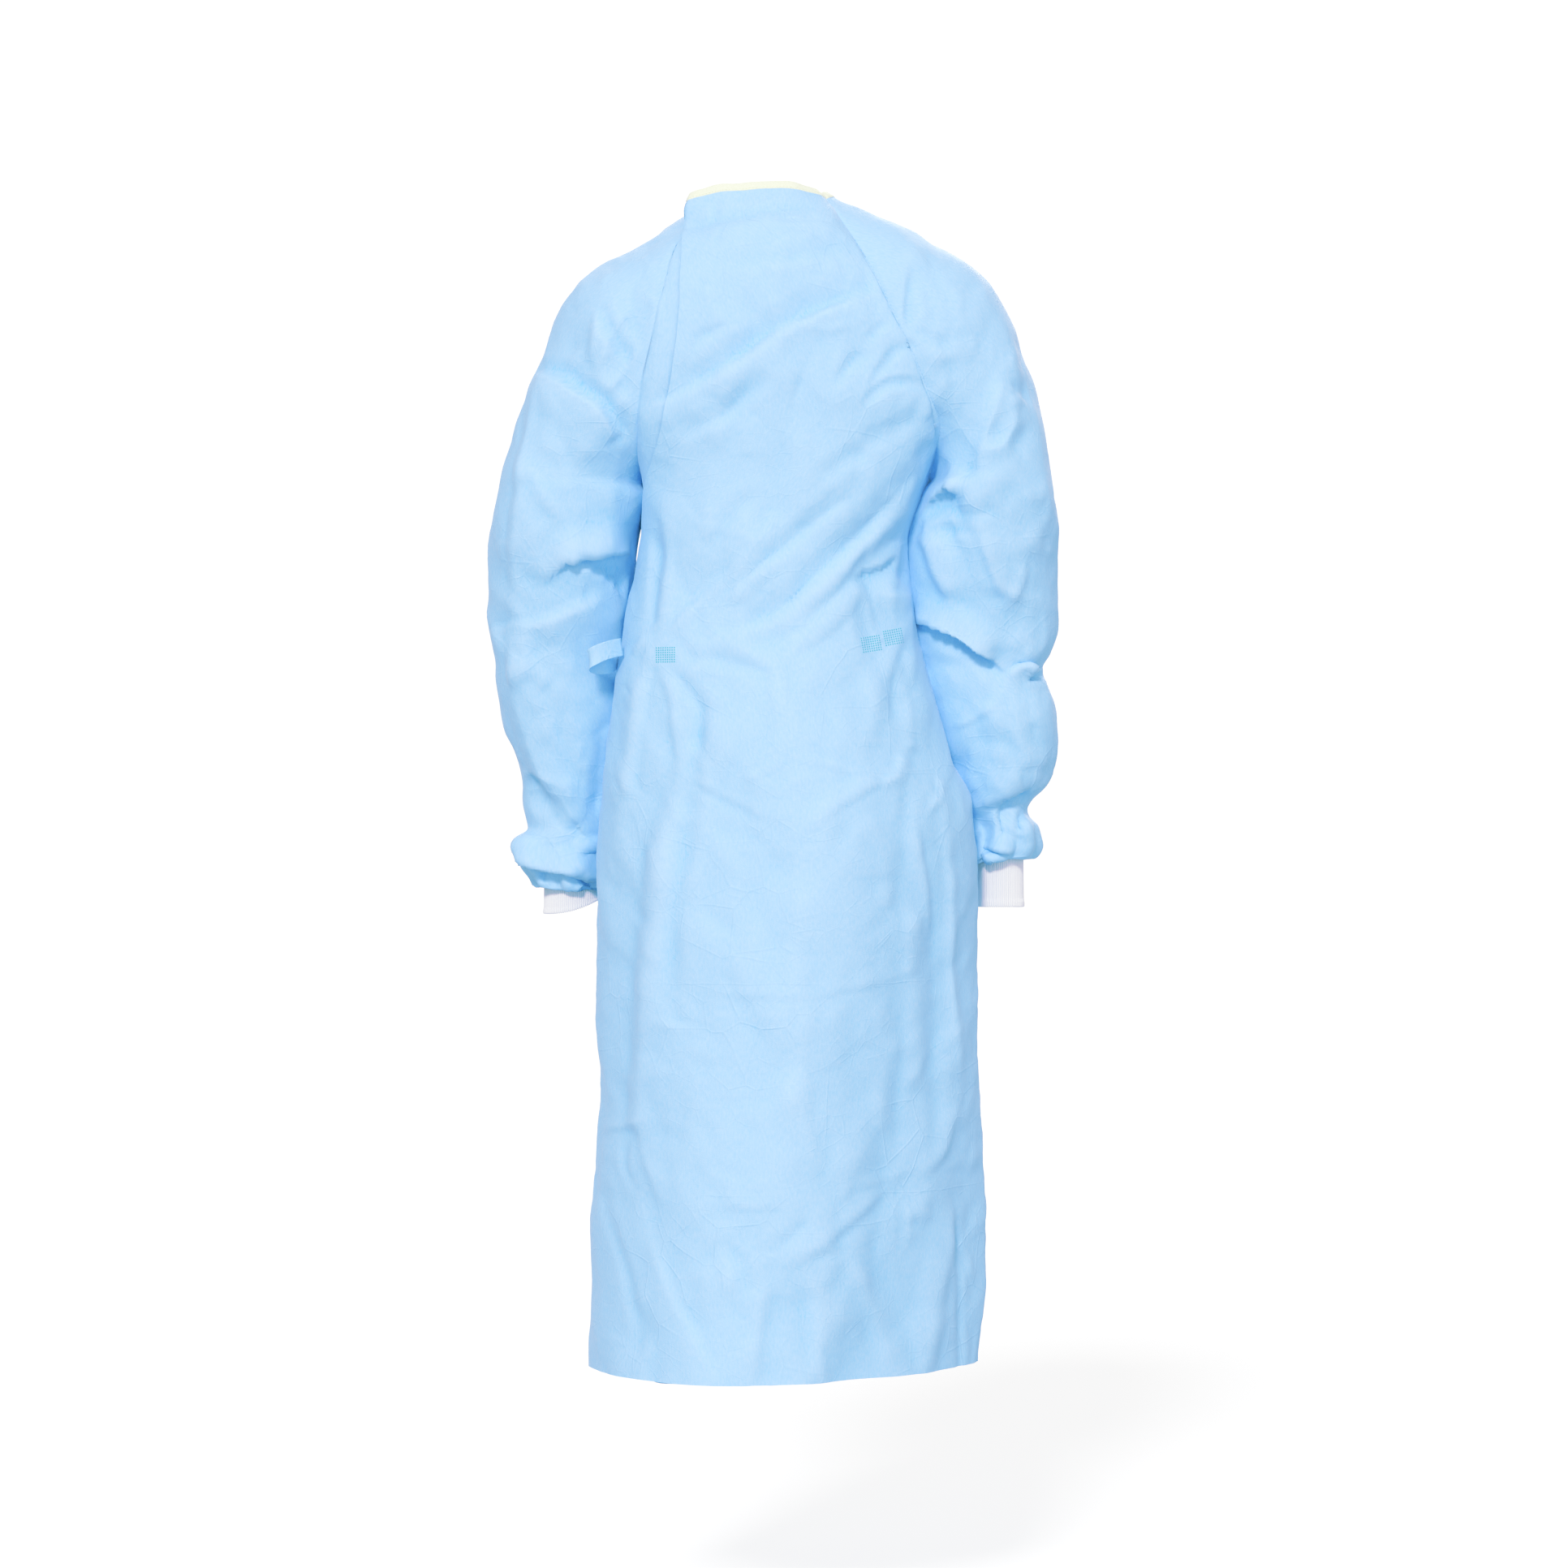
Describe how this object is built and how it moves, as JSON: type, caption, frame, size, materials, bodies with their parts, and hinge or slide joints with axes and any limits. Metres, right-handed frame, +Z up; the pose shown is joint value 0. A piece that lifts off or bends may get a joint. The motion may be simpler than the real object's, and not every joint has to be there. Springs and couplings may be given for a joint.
{
  "type": "surgical gown",
  "caption": "Long-sleeved wrap-back gown in its worn, hollow form, with raglan sleeves gathered into knitted cuffs, a bound neck and a waist tie.",
  "frame": {"origin": "middle of the neck opening at the height of the nape, where the wearer's shoulders hold the gown", "axes": "+Z up, +X towards the wearer's right, -Y towards the back that the wrap closes, +Y towards the front"},
  "size_m": [0.575, 0.3524, 1.1895],
  "materials": {
    "nonwoven_cloth": "matte non-woven, light blue, soft paper-like creases",
    "cuff_knit": "white rib knit",
    "neck_binding": "pale yellow folded binding"
  },
  "bodies": {
    "root": {"front_panel": "nonwoven_cloth", "back_panel_over": "nonwoven_cloth", "back_panel_under": "nonwoven_cloth", "sleeve_left": "nonwoven_cloth", "sleeve_right": "nonwoven_cloth", "cuff_left": "cuff_knit", "cuff_right": "cuff_knit", "neck_binding": "neck_binding", "tie_back": "nonwoven_cloth", "tie_front": "nonwoven_cloth", "tie_knot": "nonwoven_cloth", "tie_tail_long": "nonwoven_cloth", "tie_tail_short": "nonwoven_cloth"}
  },
  "joints": []
}
